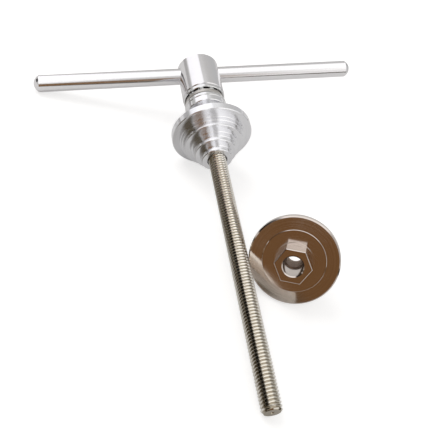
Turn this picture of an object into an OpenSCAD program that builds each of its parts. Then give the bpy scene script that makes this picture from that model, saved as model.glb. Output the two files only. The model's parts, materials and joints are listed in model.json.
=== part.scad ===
// Bottom bracket press, lying as it comes to rest, with its flange nut taken off beside it.
// The origin is on the rod's axis at the drift's nose face. The rod's tip points to -Y.
// Each piece is drawn along the rod's own axis, +Z to the tip, and then laid down.

/* [Rod] */
// Outer diameter of the screw thread
rod_d = 12; // [10:0.5:14.5]
// Length of rod in sight, from the drift's nose to the tip
rod_reach = 174; // [120:1:240]
// Chamfer on the rod's tip
tip_chamfer = 1.2; // [0.4:0.1:2]
// Diameter of the centre hole in the tip
centre_hole_d = 2.6; // [1.5:0.1:4]
// How much thinner the plain shank is than the thread
shank_relief = 0.6; // [0.4:0.1:1.2]

/* [Handle] */
// Diameter of the handle bar
bar_d = 12; // [8:0.5:16]
// Length of the handle bar
bar_len = 237; // [140:1:320]
// How far the bar sits off centre, towards its low end
bar_shift = 1.3; // [0:0.1:10]
// Height of the domed bar ends
dome_h = 3.8; // [1:0.1:5]

/* [Head] */
// Diameter of the head
head_d = 30.4; // [28:0.1:45]
// Metal between the cross hole and the head's back end
head_back = 1.7; // [1:0.1:12]
// Metal between the cross hole and the bearing
head_front = 17.9; // [12:0.1:40]
// Chamfer round the head's back end
head_chamfer = 1; // [0.3:0.1:3]
// Countersink at each end of the cross hole
cross_sink = 0.6; // [0.2:0.1:1.5]
// Metal between the rod's socket and the cross hole
socket_floor = 2.9; // [1:0.1:8]

/* [Thrust bearing] */
// Outer diameter of the bearing
bearing_d = 29.6; // [28:0.1:44]
// Thickness of each race
race_t = 2.9; // [2:0.1:5]
// Small chamfer on the edges of the races, the collar and the head's front
race_edge = 0.4; // [0.1:0.05:0.8]
// Gap between the lower race's bore and the thread, on the radius
race_bore_gap = 0.6; // [0.3:0.1:1.5]
// Diameter of the balls
ball_d = 6; // [4.5:0.1:7]
// How deep the balls sit in each race's groove
groove_depth = 0.45; // [0.2:0.05:0.9]
// Play of each ball in its groove, on the radius
ball_play = 0.04; // [0.02:0.01:0.1]
// Thickness of the ball cage
cage_t = 2.6; // [1.5:0.1:3]
// Play of each ball in the cage's pocket, on the radius
pocket_play = 0.12; // [0.05:0.01:0.2]
// Cage metal between a pocket and the cage's bore
cage_in_wall = 0.45; // [0.3:0.05:0.8]
// Cage metal between a pocket and the cage's rim
cage_out_wall = 0.55; // [0.3:0.05:0.8]
// Least cage metal between two pockets
cage_web = 0.5; // [0.3:0.1:3]

/* [Collar and hub] */
// Thickness of the thrust collar
collar_t = 5; // [3:0.1:10]
// Diameter of the drift's hub, inside the collar
hub_d = 22.6; // [18:0.1:24]
// Length of bare hub between the collar and the flange
hub_bare = 16.4; // [4:0.1:30]

/* [Drift] */
// Diameter of the flange
flange_d = 55.6; // [50:0.1:80]
// Thickness of the flange
flange_t = 5.5; // [3:0.1:10]
// Play of the drift's bore round the rod, on the diameter
drift_play = 1.1; // [0.2:0.1:1.6]
// Diameter of the first seat, next to the flange
seat_1_d = 45.2; // [44.4:0.1:48]
// Diameter of the second seat
seat_2_d = 43.6; // [41.6:0.1:45]
// Diameter of the third seat
seat_3_d = 40.9; // [34:0.1:43]
// Diameter of the fourth seat
seat_4_d = 33; // [30:0.1:40]
// Diameter of the fifth seat
seat_5_d = 29.6; // [29.3:0.1:32]
// Diameter of the sixth seat
seat_6_d = 28.8; // [23:0.1:29.2]
// Diameter of the seventh seat
seat_7_d = 22.2; // [21.5:0.1:28]
// Diameter of the nose seat
seat_8_d = 21; // [18:0.1:21.4]
// Length of the first seat
seat_1_len = 2.3; // [1.5:0.1:6]
// Length of the second seat
seat_2_len = 2.7; // [1.5:0.1:6]
// Length of the third seat
seat_3_len = 3.1; // [1.5:0.1:6]
// Length of the fourth seat
seat_4_len = 2.3; // [1.5:0.1:6]
// Length of the fifth seat
seat_5_len = 2.3; // [1.5:0.1:6]
// Length of the sixth seat
seat_6_len = 3.1; // [1.5:0.1:6]
// Length of the seventh seat
seat_7_len = 2.3; // [1.5:0.1:6]
// Length of the nose seat
seat_8_len = 3.2; // [1.5:0.1:8]
// Chamfer on the edges of the flange and the seats
edge_chamfer = 0.4; // [0.1:0.05:0.8]

/* [Flange nut] */
// Distance across the flats of the hex
hex_flats = 20; // [18:0.1:30]
// Height of the hex above the disc
hex_h = 11.4; // [6:0.1:20]
// Chamfer round the hex's front end
hex_chamfer = 0.35; // [0.1:0.05:1]
// Diameter of the round foot that the hex stands on
hex_foot_d = 23.6; // [22:0.1:36]
// Height of the hex's round foot
hex_foot_h = 1; // [0.5:0.1:3]
// Diameter of the raised land round the hex
land_d = 39; // [30:0.1:48]
// Height of the raised land
land_h = 0.4; // [0.2:0.1:2]
// Chamfer round the land
land_chamfer = 0.25; // [0.05:0.05:0.8]
// How far the disc's face falls away from the land to the rim
face_fall = 0.5; // [0:0.1:1.5]
// Chamfer round the disc's front edge
disc_chamfer = 0.8; // [0.2:0.1:1.5]
// Play of the nut's bore round the thread, on the diameter
nut_play = 0.2; // [0.1:0.1:0.6]
// Chamfer at both mouths of the nut's bore
mouth_chamfer = 0.6; // [0.2:0.1:1.5]
// Length of the first two seats behind the disc
nut_seat_len = 3.5; // [2:0.1:8]
// Length of the last seat behind the disc
nut_tail_len = 8; // [4:0.1:20]

/* [Where the nut lies] */
// How far the disc's rim lies to the right of the rod's side
nut_gap = 0; // [0:0.5:50]
// How far the disc's face lies from the drift's nose, along the floor
nut_y = 87; // [60:1:140]
// Turn of the nut about the vertical
nut_turn = 33; // [0:1:60]
// Turn of the hex about the nut's own axis
hex_turn = 17; // [0:1:59]

/* [Hidden] */
$fn = 128;
cut = 1;                          // how far a cutting shape runs past what it cuts

// Radii that several pieces share
rod_r = rod_d / 2;
shank_r = rod_r - shank_relief / 2;
bar_r = bar_d / 2;
head_r = head_d / 2;
bearing_r = bearing_d / 2;
flange_r = flange_d / 2;
hub_r = hub_d / 2;
drift_bore_r = rod_r + drift_play / 2;
nut_bore_r = rod_r + nut_play / 2;

// The drift's seats from the flange to the nose, as diameters and lengths
seat_ds = [seat_1_d, seat_2_d, seat_3_d, seat_4_d, seat_5_d, seat_6_d, seat_7_d, seat_8_d];
seat_lens = [seat_1_len, seat_2_len, seat_3_len, seat_4_len,
             seat_5_len, seat_6_len, seat_7_len, seat_8_len];
function sum_to(v, n) = n <= 0 ? 0 : v[n - 1] + sum_to(v, n - 1);
cone_len = sum_to(seat_lens, len(seat_lens));

// Ball circle: the balls run midway between the shaft and the bearing's edge, as many as have room
ball_r = ball_d / 2;
ball_circle_r = (shank_r + bearing_r) / 2;
groove_r = ball_r + ball_play;
pocket_r = ball_r + pocket_play;
cage_in_r = ball_circle_r - pocket_r - cage_in_wall;
cage_out_r = ball_circle_r + pocket_r + cage_out_wall;
ball_count = floor(180 / asin((pocket_r + cage_web / 2) / ball_circle_r));
race_gap = ball_d - 2 * groove_depth;

// Stations along the rod's axis, from the drift's nose at 0 back to the head
flange_front_z = -cone_len;
flange_back_z = flange_front_z - flange_t;
collar_front_z = flange_back_z - hub_bare;
collar_back_z = collar_front_z - collar_t;
lower_race_back_z = collar_back_z - race_t;
ball_z = lower_race_back_z - race_gap / 2;
upper_race_front_z = lower_race_back_z - race_gap;
head_front_z = upper_race_front_z - race_t;
bar_z = head_front_z - head_front - bar_r;
head_back_z = bar_z - bar_r - head_back;
socket_z = head_front_z - head_front + socket_floor;
thread_start_z = -2;

// Rest of the press: it lies on the flange's front edge, the rod's tip and the low end of the bar
rim_rest_z = flange_front_z - edge_chamfer;
tip_rest_z = rod_reach - tip_chamfer;
dip = atan((flange_r - rod_r) / (tip_rest_z - rim_rest_z));
function axis_height(z) = flange_r * cos(dip) + (rim_rest_z - z) * sin(dip);
floor_z = -axis_height(0);
low_arm = bar_len / 2 + bar_shift - dome_h;
bar_slope = asin(axis_height(bar_z) / sqrt(low_arm * low_arm + bar_r * bar_r)) - atan(bar_r / low_arm);
bar_roll = asin(sin(bar_slope) / cos(dip));

// Rest of the nut: it lies on the disc's back edge and the edge of its last seat
nut_back_len = 2 * nut_seat_len + nut_tail_len;
nut_lean = atan((flange_r - seat_3_d / 2) / nut_back_len);
nut_height = flange_r * cos(nut_lean) + (flange_t - edge_chamfer) * sin(nut_lean);
nut_x = rod_r + nut_gap + flange_r * sqrt(1 - pow(sin(nut_turn) * cos(nut_lean), 2));

// Lays a piece that is drawn along the rod's axis down on the floor
module lay_press() {
    rotate([90 + dip, 0, 0]) children();
}

// Turns a piece that is drawn along X to the handle bar's direction and place
module along_bar() {
    lay_press() translate([0, 0, bar_z]) rotate([0, 0, bar_roll]) rotate([0, 90, 0]) children();
}

// Lays the nut, drawn with its disc's front face at 0 and its hex to +Z, beside the rod
module lay_nut() {
    translate([nut_x, -nut_y, floor_z + nut_height])
        rotate([0, 0, -nut_turn])
            rotate([90 - nut_lean, 0, 0])
                children();
}

// Outline of a turned step from z0 to z1, with its edge at z1 chamfered
function step_outline(r, z0, z1, c) = [[r, z0], [r, z1 - c], [r - c, z1]];

// Outline of the drift's seats, from the flange's front face down to the nose
function seats_outline(z, i = 0) =
    i >= len(seat_ds) ? [] :
    concat(step_outline(seat_ds[i] / 2, z, z + seat_lens[i], edge_chamfer),
           seats_outline(z + seat_lens[i], i + 1));

// A ring with a rectangular section, chamfered on its outer edges
module ring(r_in, r_out, z0, z1, c) {
    rotate_extrude()
        polygon([[r_in, z0], [r_out - c, z0], [r_out, z0 + c],
                 [r_out, z1 - c], [r_out - c, z1], [r_in, z1]]);
}

// One low domed end of the bar: the part of a ball that stands out of the bar's end
module bar_dome() {
    dome_r = (bar_r * bar_r + dome_h * dome_h) / (2 * dome_h);
    intersection() {
        translate([0, 0, dome_h - dome_r]) sphere(r = dome_r);
        cylinder(r = bar_r, h = dome_h + cut);
    }
}

module handle_bar() {
    straight = bar_len - 2 * dome_h;
    color("silver") along_bar() translate([0, 0, -bar_shift]) {
        cylinder(r = bar_r, h = straight, center = true);
        translate([0, 0, straight / 2]) bar_dome();
        mirror([0, 0, 1]) translate([0, 0, straight / 2]) bar_dome();
    }
}

module head() {
    mouth_x = sqrt(head_r * head_r - bar_r * bar_r);
    sink_h = cross_sink + head_r - mouth_x + cut;
    color("silver") difference() {
        lay_press() difference() {
            rotate_extrude()
                polygon([[0, head_back_z], [head_r - head_chamfer, head_back_z],
                         [head_r, head_back_z + head_chamfer], [head_r, head_front_z - race_edge],
                         [head_r - race_edge, head_front_z], [0, head_front_z]]);
            translate([0, 0, socket_z]) cylinder(r = shank_r, h = head_front_z - socket_z + cut);
        }
        along_bar() {
            cylinder(r = bar_r, h = head_d + 2 * cut, center = true);
            for (side = [0, 1])
                mirror([0, 0, side]) translate([0, 0, mouth_x - cross_sink - cut])
                    cylinder(r1 = bar_r - cut, r2 = bar_r + sink_h, h = cut + sink_h);
        }
    }
}

module threaded_rod() {
    color("lightgray") lay_press() rotate_extrude()
        polygon([[0, socket_z], [shank_r, socket_z],
                 [shank_r, thread_start_z], [rod_r, thread_start_z],
                 [rod_r, rod_reach - tip_chamfer], [rod_r - tip_chamfer, rod_reach],
                 [centre_hole_d / 2, rod_reach], [0, rod_reach - centre_hole_d]]);
}

// A race is a ring with the balls' groove turned into one face
module race(r_in, z0, z1) {
    rotate_extrude() difference() {
        polygon([[r_in, z0], [bearing_r - race_edge, z0], [bearing_r, z0 + race_edge],
                 [bearing_r, z1 - race_edge], [bearing_r - race_edge, z1], [r_in, z1]]);
        translate([ball_circle_r, ball_z]) circle(r = groove_r);
    }
}

module upper_race() {
    color("gainsboro") lay_press() race(shank_r, head_front_z, upper_race_front_z);
}

module lower_race() {
    color("gainsboro") lay_press() race(rod_r + race_bore_gap, lower_race_back_z, collar_back_z);
}

// Puts one child at each ball's place
module at_balls() {
    for (i = [0 : ball_count - 1])
        rotate([0, 0, i * 360 / ball_count]) translate([ball_circle_r, 0, ball_z]) children();
}

module bearing_balls() {
    color("white") lay_press() at_balls() sphere(r = ball_r);
}

module bearing_cage() {
    color("darkgray") lay_press() difference() {
        ring(cage_in_r, cage_out_r, ball_z - cage_t / 2, ball_z + cage_t / 2, race_edge / 2);
        at_balls() cylinder(r = pocket_r, h = cage_t + 2 * cut, center = true);
    }
}

module thrust_collar() {
    color("gainsboro") lay_press() ring(hub_r, bearing_r, collar_back_z, collar_front_z, race_edge);
}

module stepped_drift() {
    color("lightsteelblue") lay_press() rotate_extrude()
        polygon(concat(
            [[drift_bore_r, collar_back_z], [hub_r, collar_back_z], [hub_r, flange_back_z],
             [flange_r - edge_chamfer, flange_back_z], [flange_r, flange_back_z + edge_chamfer]],
            [[flange_r, flange_front_z - edge_chamfer], [flange_r - edge_chamfer, flange_front_z]],
            seats_outline(flange_front_z),
            [[drift_bore_r + edge_chamfer, 0], [drift_bore_r, -edge_chamfer]]));
}

// The spanner hex, with a flat chamfer along each edge of its front end
module hex_bar() {
    block = hex_flats;
    difference() {
        cylinder(r = hex_flats / sqrt(3), h = hex_h, $fn = 6);
        for (i = [0 : 5])
            rotate([0, 0, 30 + 60 * i]) translate([hex_flats / 2, 0, hex_h - hex_chamfer])
                rotate([0, -45, 0]) translate([0, -block / 2, -block / 2]) cube(block);
    }
}

module flange_nut() {
    back = -flange_t - nut_back_len;
    seat_1_z = -flange_t - nut_seat_len;
    seat_2_z = seat_1_z - nut_seat_len;
    land_r = land_d / 2;
    color("rosybrown") lay_nut() difference() {
        union() {
            rotate_extrude()
                polygon([[0, land_h], [land_r - land_chamfer, land_h],
                         [land_r, land_h - land_chamfer], [land_r, 0],
                         [flange_r - disc_chamfer, -face_fall], [flange_r, -face_fall - disc_chamfer],
                         [flange_r, edge_chamfer - flange_t], [flange_r - edge_chamfer, -flange_t],
                         [seat_1_d / 2, -flange_t], [seat_1_d / 2, seat_1_z + edge_chamfer],
                         [seat_1_d / 2 - edge_chamfer, seat_1_z],
                         [seat_2_d / 2, seat_1_z], [seat_2_d / 2, seat_2_z + edge_chamfer],
                         [seat_2_d / 2 - edge_chamfer, seat_2_z],
                         [seat_3_d / 2, seat_2_z], [seat_3_d / 2, back + edge_chamfer],
                         [seat_3_d / 2 - edge_chamfer, back], [0, back]]);
            cylinder(r = hex_foot_d / 2, h = land_h + hex_foot_h);
            rotate([0, 0, hex_turn]) hex_bar();
        }
        translate([0, 0, back - cut]) cylinder(r = nut_bore_r, h = hex_h - back + 2 * cut);
        translate([0, 0, hex_h - mouth_chamfer])
            cylinder(r1 = nut_bore_r, r2 = nut_bore_r + mouth_chamfer + cut, h = mouth_chamfer + cut);
        translate([0, 0, back - cut])
            cylinder(r1 = nut_bore_r + mouth_chamfer + cut, r2 = nut_bore_r, h = mouth_chamfer + cut);
    }
}

handle_bar();
head();
threaded_rod();
upper_race();
bearing_balls();
bearing_cage();
lower_race();
thrust_collar();
stepped_drift();
flange_nut();
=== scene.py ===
# %% [markdown]
# # A bottom bracket press
# The press was drawn in CAD and packed. This script loads it as a fixed frame, so every turned part
# already has its real size and place. What is left for Blender is what CAD left plain: the cut of the
# screw thread, the finish of each metal, and a studio like the one the press was photographed in.

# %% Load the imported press
import json
from math import pi, radians

import bmesh
import bpy
from mathutils import Matrix, Quaternion, Vector


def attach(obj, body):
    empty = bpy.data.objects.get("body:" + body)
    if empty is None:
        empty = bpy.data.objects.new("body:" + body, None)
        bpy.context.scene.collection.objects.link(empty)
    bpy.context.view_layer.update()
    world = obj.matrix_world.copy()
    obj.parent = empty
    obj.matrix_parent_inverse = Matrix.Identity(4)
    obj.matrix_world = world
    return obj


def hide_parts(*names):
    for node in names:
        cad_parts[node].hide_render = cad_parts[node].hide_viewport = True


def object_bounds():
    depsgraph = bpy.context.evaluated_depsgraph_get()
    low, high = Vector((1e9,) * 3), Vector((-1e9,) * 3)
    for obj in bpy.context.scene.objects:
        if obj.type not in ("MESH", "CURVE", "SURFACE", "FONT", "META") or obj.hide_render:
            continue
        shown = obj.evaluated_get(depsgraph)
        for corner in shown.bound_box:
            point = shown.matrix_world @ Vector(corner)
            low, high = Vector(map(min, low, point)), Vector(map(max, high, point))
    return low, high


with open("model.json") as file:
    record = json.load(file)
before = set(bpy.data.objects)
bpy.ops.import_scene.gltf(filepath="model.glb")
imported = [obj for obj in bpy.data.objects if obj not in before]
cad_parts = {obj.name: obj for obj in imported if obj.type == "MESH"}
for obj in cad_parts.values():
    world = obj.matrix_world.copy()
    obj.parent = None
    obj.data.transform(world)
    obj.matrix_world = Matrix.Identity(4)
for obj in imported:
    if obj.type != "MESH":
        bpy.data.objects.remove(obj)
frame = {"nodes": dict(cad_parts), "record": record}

MM = 0.001
parts = frame["nodes"]
mounts = {mount["name"]: mount for mount in frame["record"]["mounts"]}
cad_box = [list(corner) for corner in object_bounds()]
floor_height = cad_box[0][2]
print("parts of the press:", ", ".join(sorted(parts)))
print("the floor lies at", round(floor_height / MM, 2), "mm")

# %% [markdown]
# ## The camera
# A camera is a place, a direction and a lens. The photograph was taken from above and to the left of
# the rod, with the camera rolled, which is why the level floor looks tipped. A roll can't be given as
# a target, so the direction comes from `to_track_quat` and the roll is turned in after it.

# %% Camera
scene = bpy.context.scene
eye = Vector((-157.50, -312.36, 270.94)) * MM
aim = Vector((0.90, -26.90, -25.21)) * MM
roll = radians(24.415)

camera = bpy.data.objects.new("camera", bpy.data.cameras.new("camera"))
camera.location = eye
camera.rotation_mode = "QUATERNION"
camera.rotation_quaternion = (aim - eye).to_track_quat("-Z", "Y") @ Quaternion((0, 0, 1), roll)
camera.data.lens = 54.81
camera.data.sensor_width = 36
scene.collection.objects.link(camera)
scene.camera = camera
scene.view_settings.view_transform = "Standard"
print("the camera stands", round((aim - eye).length, 3), "m from where it looks")

# %% [markdown]
# ## Helpers for node trees
# The studio and the finishes are built from shader nodes. `put` adds one node, sets its options and
# fills its inputs, by a plain value or by a wire from another node's output. `calc`, `step` and `mix`
# are `put` for the three nodes that are used most, and `new_group` makes an empty group with named
# sockets, for what several materials share.

# %% Node helpers
def put(tree, kind, fill=None, **options):
    """Adds a shader node, sets its options, and fills its inputs with values or wires."""
    node = tree.nodes.new("ShaderNode" + kind)
    for option, value in options.items():
        setattr(node, option, value)
    for name, source in (fill or {}).items():
        if isinstance(source, bpy.types.NodeSocket):
            tree.links.new(source, node.inputs[name])
        else:
            node.inputs[name].default_value = source
    return node


def calc(tree, operation, *values):
    """Adds a Math node and gives its output."""
    return put(tree, "Math", dict(enumerate(values)), operation=operation).outputs[0]


def step(tree, value, start, end):
    """Adds a Map Range node that goes smoothly from 0 at start to 1 at end."""
    fill = {"Value": value, "From Min": start, "From Max": end}
    return put(tree, "MapRange", fill, interpolation_type="SMOOTHSTEP").outputs[0]


def mix(tree, factor, first, second):
    """Adds a Mix node for colours: first where factor is 0, second where it is 1."""
    factor_in, first_in, second_in, colour_out = 0, 6, 7, 2
    fill = {factor_in: factor, first_in: first, second_in: second}
    return put(tree, "Mix", fill, data_type="RGBA").outputs[colour_out]


def new_group(name, inputs, outputs):
    """Makes a shader node group and gives it with its inner input and output nodes."""
    tree = bpy.data.node_groups.new(name, "ShaderNodeTree")
    for in_out, sockets in (("INPUT", inputs), ("OUTPUT", outputs)):
        for label, kind in sockets.items():
            tree.interface.new_socket(label, in_out=in_out, socket_type="NodeSocket" + kind)
    return tree, tree.nodes.new("NodeGroupInput"), tree.nodes.new("NodeGroupOutput")


# %% [markdown]
# ## A studio for metal to mirror
# Bare metal shows little of its own: what is seen in it is the room. In a product studio the room is
# a grey space with white cards and softboxes, and something dark here and there to draw the edges.
# Real cards would have to be hidden from every other camera, so they are painted on the world, as
# soft-edged patches by compass direction and height. One node group makes a patch, and it is placed
# once for each card.

# %% The studio card group
card_tree, card_in, card_out = new_group(
    "studio card",
    {"Direction": "Vector", "Compass": "Float", "Half Width": "Float", "Height": "Float",
     "Half Height": "Float", "Softness": "Float"},
    {"Card": "Float"})
card_axes = put(card_tree, "SeparateXYZ", {0: card_in.outputs["Direction"]}).outputs
compass = calc(card_tree, "ARCTAN2", card_axes["X"], card_axes["Y"])
height = calc(card_tree, "ARCSINE", card_axes["Z"])
turn_away = calc(card_tree, "SUBTRACT", compass, calc(card_tree, "RADIANS", card_in.outputs["Compass"]))
turn_away = calc(card_tree, "ABSOLUTE", calc(card_tree, "WRAP", turn_away, pi, -pi))
rise_away = calc(card_tree, "SUBTRACT", height, calc(card_tree, "RADIANS", card_in.outputs["Height"]))
rise_away = calc(card_tree, "ABSOLUTE", rise_away)
half_soft = calc(card_tree, "MULTIPLY", calc(card_tree, "RADIANS", card_in.outputs["Softness"]), 0.5)
edges = []
for away, half in ((turn_away, "Half Width"), (rise_away, "Half Height")):
    half = calc(card_tree, "RADIANS", card_in.outputs[half])
    outer = calc(card_tree, "ADD", half, half_soft)
    inner = calc(card_tree, "SUBTRACT", half, half_soft)
    edges.append(step(card_tree, away, outer, inner))
card_tree.links.new(calc(card_tree, "MULTIPLY", *edges), card_out.inputs["Card"])
print("the studio card group has", len(card_tree.nodes), "nodes")

# %% [markdown]
# The cards, each with its compass direction in degrees (0 is +Y, 90 is +X), half its width, the
# height of its middle above the horizon, half its height, how soft its edges are, and its colour. A
# later card lies over an earlier one. The white ones are a little over 1, so that a metal of 80%
# reflectance still shows them white. Where two polished faces meet square, as on the drift's steps,
# they send a ray back the way it came, so what lights the steps is the card right by the camera.

# %% World
wall_grey = (0.60, 0.59, 0.58, 1)
cards = [
    ("low right wall", 90, 75, 0, 30, 30, (0.56, 0.56, 0.56, 1)),
    ("brown wall", -161, 27, 9, 17, 8, (0.20, 0.105, 0.045, 1)),
    ("card by the camera", -151, 14, 43, 14, 6, (1.20, 1.20, 1.20, 1)),
    ("front right card", 146, 26, 55, 30, 14, (1.25, 1.24, 1.22, 1)),
    ("front right skirt", 146, 26, 13, 15, 12, (1.00, 0.99, 0.98, 1)),
    ("left softbox", -33, 26, 38, 24, 8, (1.28, 1.27, 1.30, 1)),
    ("under the softbox", -12, 30, 2, 9, 10, (0.36, 0.35, 0.34, 1)),
    ("black flag", -70, 19, 20, 23, 10, (0.012, 0.011, 0.010, 1)),
    ("right streak", 60, 3, 10, 40, 4, (0.20, 0.19, 0.18, 1)),
    ("overhead", 0, 181, 78, 25, 12, (1.22, 1.22, 1.22, 1)),
]
world = bpy.data.worlds.new("studio")
world.use_nodes = True
scene.world = world
sky = world.node_tree
direction = put(sky, "TexCoord").outputs["Generated"]
mirrored = wall_grey
for label, compass_mid, half_width, height_mid, half_height, softness, colour in cards:
    patch = put(sky, "Group", {}, node_tree=card_tree, label=label)
    sky.links.new(direction, patch.inputs["Direction"])
    settings = (compass_mid, half_width, height_mid, half_height, softness)
    for socket, value in zip(list(patch.inputs)[1:], settings):
        socket.default_value = value
    mirrored = mix(sky, patch.outputs["Card"], mirrored, colour)

# %% [markdown]
# The world answers three kinds of ray: a reflection sees the cards, the camera sees white, and what
# lights matt surfaces is one plain grey, so that the cards don't tint the floor.

# %% World by kind of ray
fill_light = (0.62, 0.62, 0.62, 1)
white = (1, 1, 1, 1)
ray = put(sky, "LightPath").outputs
seen = mix(sky, ray["Is Glossy Ray"], fill_light, mirrored)
seen = mix(sky, ray["Is Camera Ray"], seen, white)
sky.links.new(seen, sky.nodes["Background"].inputs["Color"])
print("the studio has", len(cards), "cards")

# %% [markdown]
# ## One soft lamp and the floor
# A single large lamp from the upper left gives the shadows their side. It is kept out of reflections,
# because the softbox is there already. The floor is pale and matt. It adds a little light of its own
# for the camera, so that it comes out white as on the photograph and still keeps its shadow, and a
# smaller share for reflections, so that the metal mirrors a pale floor too. To the left of the rod
# and past its tip the floor is painted a dark brown for reflections only: a painted reflection, as of
# a dark card beside shiny work, which also stands in for the shade beside the rod.

# %% Lamp and floor
lamp = bpy.data.objects.new("soft lamp", bpy.data.lights.new("soft lamp", "AREA"))
lamp.data.shape = "DISK"
lamp.data.size = 0.9
lamp.data.energy = 5
lamp.location = (-0.55, 0.45, 1.0)
lamp.rotation_euler = (-lamp.location).to_track_quat("-Z", "Y").to_euler()
lamp.visible_glossy = False
scene.collection.objects.link(lamp)

floor_size = 6          # metres
floor_mesh = bpy.data.meshes.new("floor")
shape = bmesh.new()
bmesh.ops.create_grid(shape, x_segments=1, y_segments=1, size=floor_size / 2)
bmesh.ops.translate(shape, verts=shape.verts, vec=(0, 0, floor_height))
shape.to_mesh(floor_mesh)
shape.free()
floor = bpy.data.objects.new("floor", floor_mesh)
scene.collection.objects.link(floor)

# the second tone is a painted reflection: a dark brown floor that only reflections see
floor_tone, painted_reflection_tone = (0.62, 0.61, 0.60, 1), (0.12, 0.10, 0.07, 1)
camera_glow, mirror_glow = 0.60, 0.18
floor_paint = bpy.data.materials.new("pale floor")
floor_paint.use_nodes = True
tree = floor_paint.node_tree
shader = tree.nodes["Principled BSDF"]
floor_ray = put(tree, "LightPath").outputs
spot = put(tree, "SeparateXYZ", {0: put(tree, "TexCoord").outputs["Object"]}).outputs
left_of_rod = step(tree, spot["X"], -4 * MM, -24 * MM)
beside_rod = step(tree, spot["Y"], 30 * MM, -30 * MM)
past_tip = step(tree, spot["Y"], -176 * MM, -186 * MM)
on_painted_reflection = calc(tree, "MAXIMUM", calc(tree, "MULTIPLY", left_of_rod, beside_rod), past_tip)
# painted reflection and shade: left of the rod and past its tip, reflections see the floor dark brown
painted_reflection = calc(tree, "MULTIPLY", on_painted_reflection, floor_ray["Is Glossy Ray"])
tree.links.new(mix(tree, painted_reflection, floor_tone, painted_reflection_tone), shader.inputs["Base Color"])
shader.inputs["Roughness"].default_value = 0.9
shader.inputs["Specular IOR Level"].default_value = 0
glow = calc(tree, "MULTIPLY", floor_ray["Is Camera Ray"], camera_glow)
pale_ray = calc(tree, "SUBTRACT", floor_ray["Is Glossy Ray"], painted_reflection)
glow = calc(tree, "MULTIPLY_ADD", pale_ray, mirror_glow, glow)
extra = put(tree, "Emission", {"Color": white, "Strength": glow})
both = put(tree, "AddShader", {0: shader.outputs[0], 1: extra.outputs[0]})
tree.links.new(both.outputs[0], tree.nodes["Material Output"].inputs["Surface"])
floor.data.materials.append(floor_paint)
print("the floor is", floor_size, "m wide")

# %% [markdown]
# ## Where the axes run
# A turned part has its marks in rings round its axis, so its finish has to know where that axis is.
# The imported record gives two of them: the rod's and the nut bore's. The bar's axis runs between
# its two ends. Each becomes a matrix that carries local +Z onto the axis.

# %% The three axes
def place_on(axis, point):
    """The matrix that lays local +Z along axis, with the local origin at point."""
    turn = Vector(axis).to_track_quat("Z", "Y").to_matrix().to_4x4()
    return Matrix.Translation(point) @ turn


rod_mount = mounts["rod_end"]
bore_mount = mounts["nut_bore"]
rod_place = place_on(rod_mount["axis"], rod_mount["pos_m"])
nut_place = place_on(bore_mount["axis"], bore_mount["pos_m"])
bar_points = sorted((vert.co for vert in parts["handle_bar"].data.vertices), key=lambda co: co.x)
bar_place = place_on(bar_points[-1] - bar_points[0], (bar_points[-1] + bar_points[0]) / 2)
print("the rod points to", [round(n, 3) for n in rod_mount["axis"]])

# %% [markdown]
# ## Marks that several metals share
# A lathe leaves fine lines round the axis: rings on a flat face, hoops on a cylinder. Both come from
# one-dimensional noise, read at the distance from the axis plus a share of the height, so the same
# group works on faces, cylinders and cones. A slower noise of the same kind gives the broad bands in
# which a tool cut a little cleaner or rougher. A second group makes the faint clouds that hands and
# cloths leave on polished metal.

# %% The lathe lines group
lines_tree, lines_in, lines_out = new_group(
    "lathe lines", {"Vector": "Vector", "Lines per mm": "Float"}, {"Height": "Float", "Bands": "Float"})
axes = put(lines_tree, "SeparateXYZ", {0: lines_in.outputs["Vector"]}).outputs
flat = put(lines_tree, "CombineXYZ", {"X": axes["X"], "Y": axes["Y"]}).outputs[0]
radius = put(lines_tree, "VectorMath", {0: flat}, operation="LENGTH").outputs["Value"]
height_share = 0.73     # a share that keeps a 45 degree cone from coming out without lines
travel = calc(lines_tree, "MULTIPLY_ADD", axes["Z"], height_share, radius)
travel_mm = calc(lines_tree, "DIVIDE", travel, MM)
fine = calc(lines_tree, "MULTIPLY", travel_mm, lines_in.outputs["Lines per mm"])
grain = {"Scale": 1, "Detail": 2, "Roughness": 0.6}
fine_noise = put(lines_tree, "TexNoise", {"W": fine, **grain}, noise_dimensions="1D")
band_noise = put(lines_tree, "TexNoise", {"W": travel_mm, **grain}, noise_dimensions="1D")
lines_tree.links.new(fine_noise.outputs[0], lines_out.inputs["Height"])
rough_cut, clean_cut = 0.35, 0.65
bands = step(lines_tree, band_noise.outputs[0], rough_cut, clean_cut)
lines_tree.links.new(bands, lines_out.inputs["Bands"])

# %% The handling group
touch_tree, touch_in, touch_out = new_group(
    "handling", {"Vector": "Vector", "Clouds per mm": "Float"}, {"Clouds": "Float"})
in_mm = put(touch_tree, "VectorMath", {0: touch_in.outputs["Vector"], "Scale": 1 / MM},
            operation="SCALE").outputs[0]
cloud_noise = put(touch_tree, "TexNoise", {"Vector": in_mm, "Scale": touch_in.outputs["Clouds per mm"],
                                           "Detail": 3, "Roughness": 0.65})
untouched, well_handled = 0.42, 0.72
clouds = step(touch_tree, cloud_noise.outputs[0], untouched, well_handled)
touch_tree.links.new(clouds, touch_out.inputs["Clouds"])
print("two shared groups:", lines_tree.name, "and", touch_tree.name)

# %% [markdown]
# ## One recipe, nine metals
# Every part is bare metal, so one recipe serves them all with different numbers: its tone, how
# rough it is, how close and how deep the lathe lines are, and how much handling shows. Lines that are
# too fine to see still spread a reflection, and only across them: that is what draws the bright
# wedges on a turned face. The shader's Anisotropic does this, given the way the lines run as its
# tangent. That way is the axis crossed with the place of each point, turned with the part by a
# Vector Transform, and Anisotropic Rotation then lays the spread across the lines. The rod's thread
# also has its grooves darkened, partly oily grime and partly painted shade; the grooves are simply where
# the surface lies nearer the axis.

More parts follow.
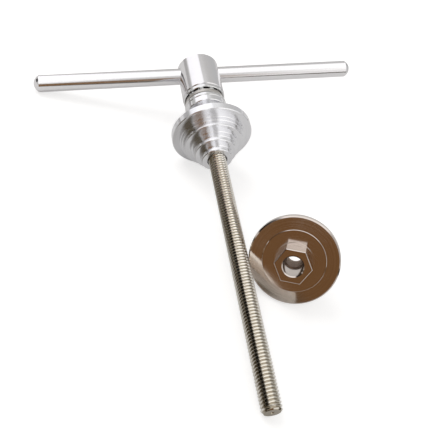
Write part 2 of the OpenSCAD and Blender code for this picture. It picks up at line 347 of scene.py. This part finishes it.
# %% The turned metal recipe
ACROSS = 0.25                            # a quarter turn from along the lines
CLOUDS_PER_MM = 0.12
# a warm dark for the thread's grooves: partly oily grime, partly painted shade
GROOVE_DIRT_AND_SHADE_TONE = (0.42, 0.37, 0.29, 1)


def turned_metal(name, place, tone, roughness, spread, lines_per_mm, depth_mm, clouds=0.04, bands=0.03,
                 darker=0.93, groove_dirt_and_shade=None):
    """A bare metal with lathe lines round the axis of place, and faint handling.
    groove_dirt_and_shade is a pair of radii in mm: clean metal outside the first, and inside the second a
    warm dark that is partly oily grime and partly painted shade."""
    metal = bpy.data.materials.new(name)
    metal.use_nodes = True
    tree = metal.node_tree
    shader = tree.nodes["Principled BSDF"]
    shader.inputs["Metallic"].default_value = 1
    shader.inputs["Anisotropic"].default_value = spread
    shader.inputs["Anisotropic Rotation"].default_value = ACROSS
    coords = put(tree, "TexCoord").outputs["Object"]
    where = {"Vector": coords, "Location": place.to_translation(), "Rotation": place.to_euler()}
    along = put(tree, "Mapping", where, vector_type="TEXTURE").outputs[0]
    axis = place.to_3x3() @ Vector((0, 0, 1))
    arm = put(tree, "VectorMath", {0: coords, 1: place.to_translation()}, operation="SUBTRACT").outputs[0]
    hoop = put(tree, "VectorMath", {0: axis, 1: arm}, operation="CROSS_PRODUCT").outputs[0]
    hoop = put(tree, "VectorTransform", {0: hoop}, vector_type="VECTOR", convert_from="OBJECT",
               convert_to="WORLD").outputs[0]
    tree.links.new(hoop, shader.inputs["Tangent"])

    lines = put(tree, "Group", {}, node_tree=lines_tree)
    tree.links.new(along, lines.inputs["Vector"])
    lines.inputs["Lines per mm"].default_value = lines_per_mm
    touch = put(tree, "Group", {}, node_tree=touch_tree)
    tree.links.new(along, touch.inputs["Vector"])
    touch.inputs["Clouds per mm"].default_value = CLOUDS_PER_MM
    dark_tone = tuple(channel * darker for channel in tone)
    colour = mix(tree, lines.outputs["Bands"], (*dark_tone, 1), (*tone, 1))
    if groove_dirt_and_shade:
        flat = put(tree, "VectorMath", {0: along, 1: (1, 1, 0)}, operation="MULTIPLY").outputs[0]
        reach = put(tree, "VectorMath", {0: flat}, operation="LENGTH").outputs["Value"]
        in_groove = step(tree, reach, groove_dirt_and_shade[0] * MM, groove_dirt_and_shade[1] * MM)
        # painted shade with oily grime: the thread's grooves, nearer the axis, turn a warm dark
        colour = mix(tree, in_groove, colour, GROOVE_DIRT_AND_SHADE_TONE)
    tree.links.new(colour, shader.inputs["Base Color"])
    rough = calc(tree, "MULTIPLY_ADD", lines.outputs["Bands"], bands, roughness)
    rough = calc(tree, "MULTIPLY_ADD", touch.outputs["Clouds"], clouds, rough)
    tree.links.new(rough, shader.inputs["Roughness"])
    bump = put(tree, "Bump", {"Height": lines.outputs["Height"], "Strength": 1, "Distance": depth_mm * MM})
    tree.links.new(bump.outputs[0], shader.inputs["Normal"])
    return metal


# %% [markdown]
# The bar is satin, so its reflections are soft. The head and the collar are turned and polished, and
# theirs are crisp, but drawn out along the axis. The rod is plated, and its grooves are darkened, partly
# as oily grime and partly as painted shade, which reads as a warm line between bright crests. The races
# are ground, the balls are as good as mirrors, and the cage is pressed sheet, the dullest of all. The
# drift is turned aluminium, lighter and colder than steel, with lathe lines that the eye can find. The nut
# is polished steel with a warm tone.

# %% The nine metals
metals = {
    "bar": turned_metal("satin bar", bar_place, (0.86, 0.85, 0.86), roughness=0.16, spread=0.6,
                        lines_per_mm=6, depth_mm=0.0001, clouds=0.02, bands=0.01, darker=0.98),
    "head": turned_metal("polished head", rod_place, (0.80, 0.79, 0.80), roughness=0.12, spread=0.8,
                         lines_per_mm=5, depth_mm=0.0001, clouds=0.02, bands=0.01, darker=0.98),
    "rod": turned_metal("plated thread", rod_place, (0.90, 0.87, 0.81), roughness=0.08, spread=0,
                        lines_per_mm=8, depth_mm=0.0003, groove_dirt_and_shade=(5.5, 4.9)),
    "race": turned_metal("ground race", rod_place, (0.76, 0.76, 0.76), roughness=0.10, spread=0.6,
                         lines_per_mm=9, depth_mm=0.0001, bands=0.02),
    "balls": turned_metal("polished ball", rod_place, (0.80, 0.80, 0.80), roughness=0.04, spread=0,
                          lines_per_mm=9, depth_mm=0.0001, clouds=0.02, bands=0.01),
    "cage": turned_metal("pressed cage", rod_place, (0.55, 0.53, 0.50), roughness=0.28, spread=0,
                         lines_per_mm=4, depth_mm=0.0005),
    "collar": turned_metal("polished collar", rod_place, (0.80, 0.80, 0.81), roughness=0.10, spread=0.7,
                           lines_per_mm=7, depth_mm=0.0001, clouds=0.02, bands=0.01, darker=0.98),
    "drift": turned_metal("turned drift", rod_place, (0.87, 0.87, 0.89), roughness=0.14, spread=0.80,
                          lines_per_mm=2, depth_mm=0.0004, clouds=0.03, bands=0.04, darker=0.95),
    "nut": turned_metal("polished nut", nut_place, (0.68, 0.61, 0.56), roughness=0.09, spread=0.7,
                        lines_per_mm=3, depth_mm=0.0001, clouds=0.02, bands=0.02),
}
slot_of = {row["node"]: row["material_slot"] for row in frame["record"]["subparts"]}
for name, part in parts.items():
    for material_slot in part.material_slots:
        material_slot.material = metals[slot_of[name]]
    print(name, "is finished as", metals[slot_of[name]].name)

# %% [markdown]
# ## The rod's thread
# CAD left the rod a plain cylinder. The real one has a screw thread of 2 mm pitch, and that is the
# detail the eye finds first. A thread is one short profile, from groove to groove, that is spun
# round the axis while it climbs one pitch. `bmesh.ops.spin` does both moves: its angle turns and its
# dvec climbs. One turn is enough, because every other is a copy a pitch further on, and a long spin
# is slow. The end of each turn lies on the start of the next, so merging doubles sews them into one
# skin. It is made longer than needed and cut to length.

# %% Thread helpers
STEPS = 48              # faces round one turn
SAME_POINT = 0.002      # mm
ON_THE_CUT = 0.001      # mm
pitch = 2.0             # mm


def everything(shape):
    """All the points, edges and faces of a shape."""
    return shape.verts[:] + shape.edges[:] + shape.faces[:]


def spun_thread(profile, first_z, turns, closed):
    """Spins a profile of (radius, height) points in mm into a right-hand thread."""
    shape = bmesh.new()
    points = [shape.verts.new((r, 0, first_z + z)) for r, z in profile]
    ends = points[1:] + points[:1] if closed else points[1:]
    sides = [shape.edges.new(pair) for pair in zip(points, ends)]
    bmesh.ops.spin(shape, geom=points + sides, cent=(0, 0, 0), axis=(0, 0, 1), angle=2 * pi,
                   dvec=(0, 0, pitch / STEPS), steps=STEPS, use_merge=False)
    one_turn = everything(shape)
    for turn in range(1, turns):
        copy = bmesh.ops.duplicate(shape, geom=one_turn)["geom"]
        copied = [item for item in copy if isinstance(item, bmesh.types.BMVert)]
        bmesh.ops.translate(shape, verts=copied, vec=(0, 0, turn * pitch))
    bmesh.ops.remove_doubles(shape, verts=shape.verts, dist=SAME_POINT)
    return shape


def cut_at(shape, z, **clear):
    """Cuts across the axis at z, and clears the side named by clear_inner or clear_outer."""
    bmesh.ops.bisect_plane(shape, geom=everything(shape), plane_co=(0, 0, z), plane_no=(0, 0, 1), **clear)


def rim_at(shape, z):
    """The open edges that lie at height z."""
    return [edge for edge in shape.edges
            if edge.is_boundary and all(abs(vert.co.z - z) < ON_THE_CUT for vert in edge.verts)]


def set_radius(vert, radius):
    """Moves a point straight out from the axis, or in, to a radius."""
    scale = radius / vert.co.xy.length
    vert.co.x *= scale
    vert.co.y *= scale


def make_piece(shape, name, place, node, body, crease=32):
    """Turns a shape in mm into a finished piece in its place, riding on its body."""
    bmesh.ops.recalc_face_normals(shape, faces=shape.faces)
    for face in shape.faces:
        face.smooth = True
    for edge in shape.edges:
        edge.smooth = edge.calc_face_angle(pi) < radians(crease)
    shape.transform(place @ Matrix.Scale(MM, 4))
    mesh = bpy.data.meshes.new(name)
    shape.to_mesh(mesh)
    shape.free()
    piece = bpy.data.objects.new(name, mesh)
    scene.collection.objects.link(piece)
    slot = slot_of[node]
    piece.data.materials.append(metals[slot])
    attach(piece, body)
    corners = sum(len(face.vertices) - 2 for face in mesh.polygons)
    print(name, "has", corners, "triangles")
    return piece


# %% [markdown]
# The rod's lengths are measured along its axis on the CAD rod: its lower end in the head and its tip.
# At the lower end the thread runs out into the plain shank, so its grooves rise to the shank's radius
# over one millimetre. At the tip a chamfer limits how far the thread may stand out.

# %% The threaded rod
rod_r = rod_mount["dims"]["r_mm"]
along_rod = [(rod_place.inverted() @ vert.co).z / MM for vert in parts["threaded_rod"].data.vertices]
rod_low, rod_tip = min(along_rod), max(along_rod)
root_r, shank_r, tip_chamfer = 4.85, 5.7, 1.2
thread_start, run_out = -2.0, 1.0
rod_profile = [(root_r, 0), (root_r, 0.22), (5.85, 0.80), (rod_r, 0.92),
               (rod_r, 1.08), (5.85, 1.20), (root_r, 1.78), (root_r, pitch)]
spare = 2 * pitch
turns = int((rod_tip - thread_start + 2 * spare) / pitch)
thread = spun_thread(rod_profile, thread_start - spare, turns, closed=False)
cut_at(thread, thread_start, clear_inner=True)
cut_at(thread, thread_start + run_out)
cut_at(thread, rod_tip - tip_chamfer)
cut_at(thread, rod_tip, clear_outer=True)
for vert in thread.verts:
    risen = (vert.co.z - thread_start) / run_out
    reach = vert.co.xy.length
    if risen < 1:
        set_radius(vert, shank_r + (reach - shank_r) * risen)
    past_chamfer = max(0, vert.co.z - (rod_tip - tip_chamfer))
    set_radius(vert, min(vert.co.xy.length, rod_r - past_chamfer))
print("the thread was cut from", turns, "turns to", round(rod_tip - thread_start, 1), "mm")

# %% [markdown]
# The open rims are then closed. The lower rim is drawn down into the shank and capped. Across the tip
# a flat face runs in to the lathe's centre hole, a small cone that is drawn in to a point.

# %% The rod's ends
def draw_out(shape, rim, length):
    """Extrudes a rim along the axis and gives its new edges and points."""
    new = bmesh.ops.extrude_edge_only(shape, edges=rim)["geom"]
    points = [item for item in new if isinstance(item, bmesh.types.BMVert)]
    bmesh.ops.translate(shape, verts=points, vec=(0, 0, length))
    return [item for item in new if isinstance(item, bmesh.types.BMEdge)], points


shank_end, _ = draw_out(thread, rim_at(thread, thread_start), rod_low - thread_start)
shank_end = [edge for edge in shank_end if edge.is_boundary]
bmesh.ops.edgeloop_fill(thread, edges=shank_end)

hole_r = 1.3
tip_rim = rim_at(thread, rod_tip)
hole = bmesh.ops.create_circle(thread, segments=32, radius=hole_r, cap_ends=False,
                               matrix=Matrix.Translation((0, 0, rod_tip)))["verts"]
hole_rim = list({edge for vert in hole for edge in vert.link_edges})
bmesh.ops.bridge_loops(thread, edges=tip_rim + hole_rim)
_, hole_points = draw_out(thread, hole_rim, -2 * hole_r)
bmesh.ops.pointmerge(thread, verts=hole_points, merge_co=(0, 0, rod_tip - 2 * hole_r))
rod_piece = make_piece(thread, "rod_thread", rod_place, "threaded_rod", "press")
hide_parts("threaded_rod")

# %% [markdown]
# ## The nut's thread
# Inside the nut's bore the same thread shows as ridges. They stand out from the wall, so they are a
# closed profile with its back sunk in the metal, spun the same way. The photograph shows the front of
# the bore smooth, so the ridges stop well short of its mouth.

# %% The nut's ridges
bore_r = bore_mount["dims"]["r_mm"]
bore_length = bore_mount["dims"]["length_mm"]
smooth_mouth = 14.0     # mm
sunk_r, ridge_r = bore_r + 0.1, 5.1
nut_profile = [(sunk_r, 0.1), (ridge_r, 0.9), (ridge_r, 1.1), (sunk_r, 1.9)]
nut_turns = int((bore_length - smooth_mouth) / pitch) - 1
print("the nut's thread has", nut_turns, "turns in a bore of", bore_length, "mm")
ridges = spun_thread(nut_profile, -bore_length / 2 + 0.2, nut_turns, closed=True)
bmesh.ops.holes_fill(ridges, edges=[edge for edge in ridges.edges if edge.is_boundary])
make_piece(ridges, "nut_thread", nut_place, "flange_nut", "press", crease=60)
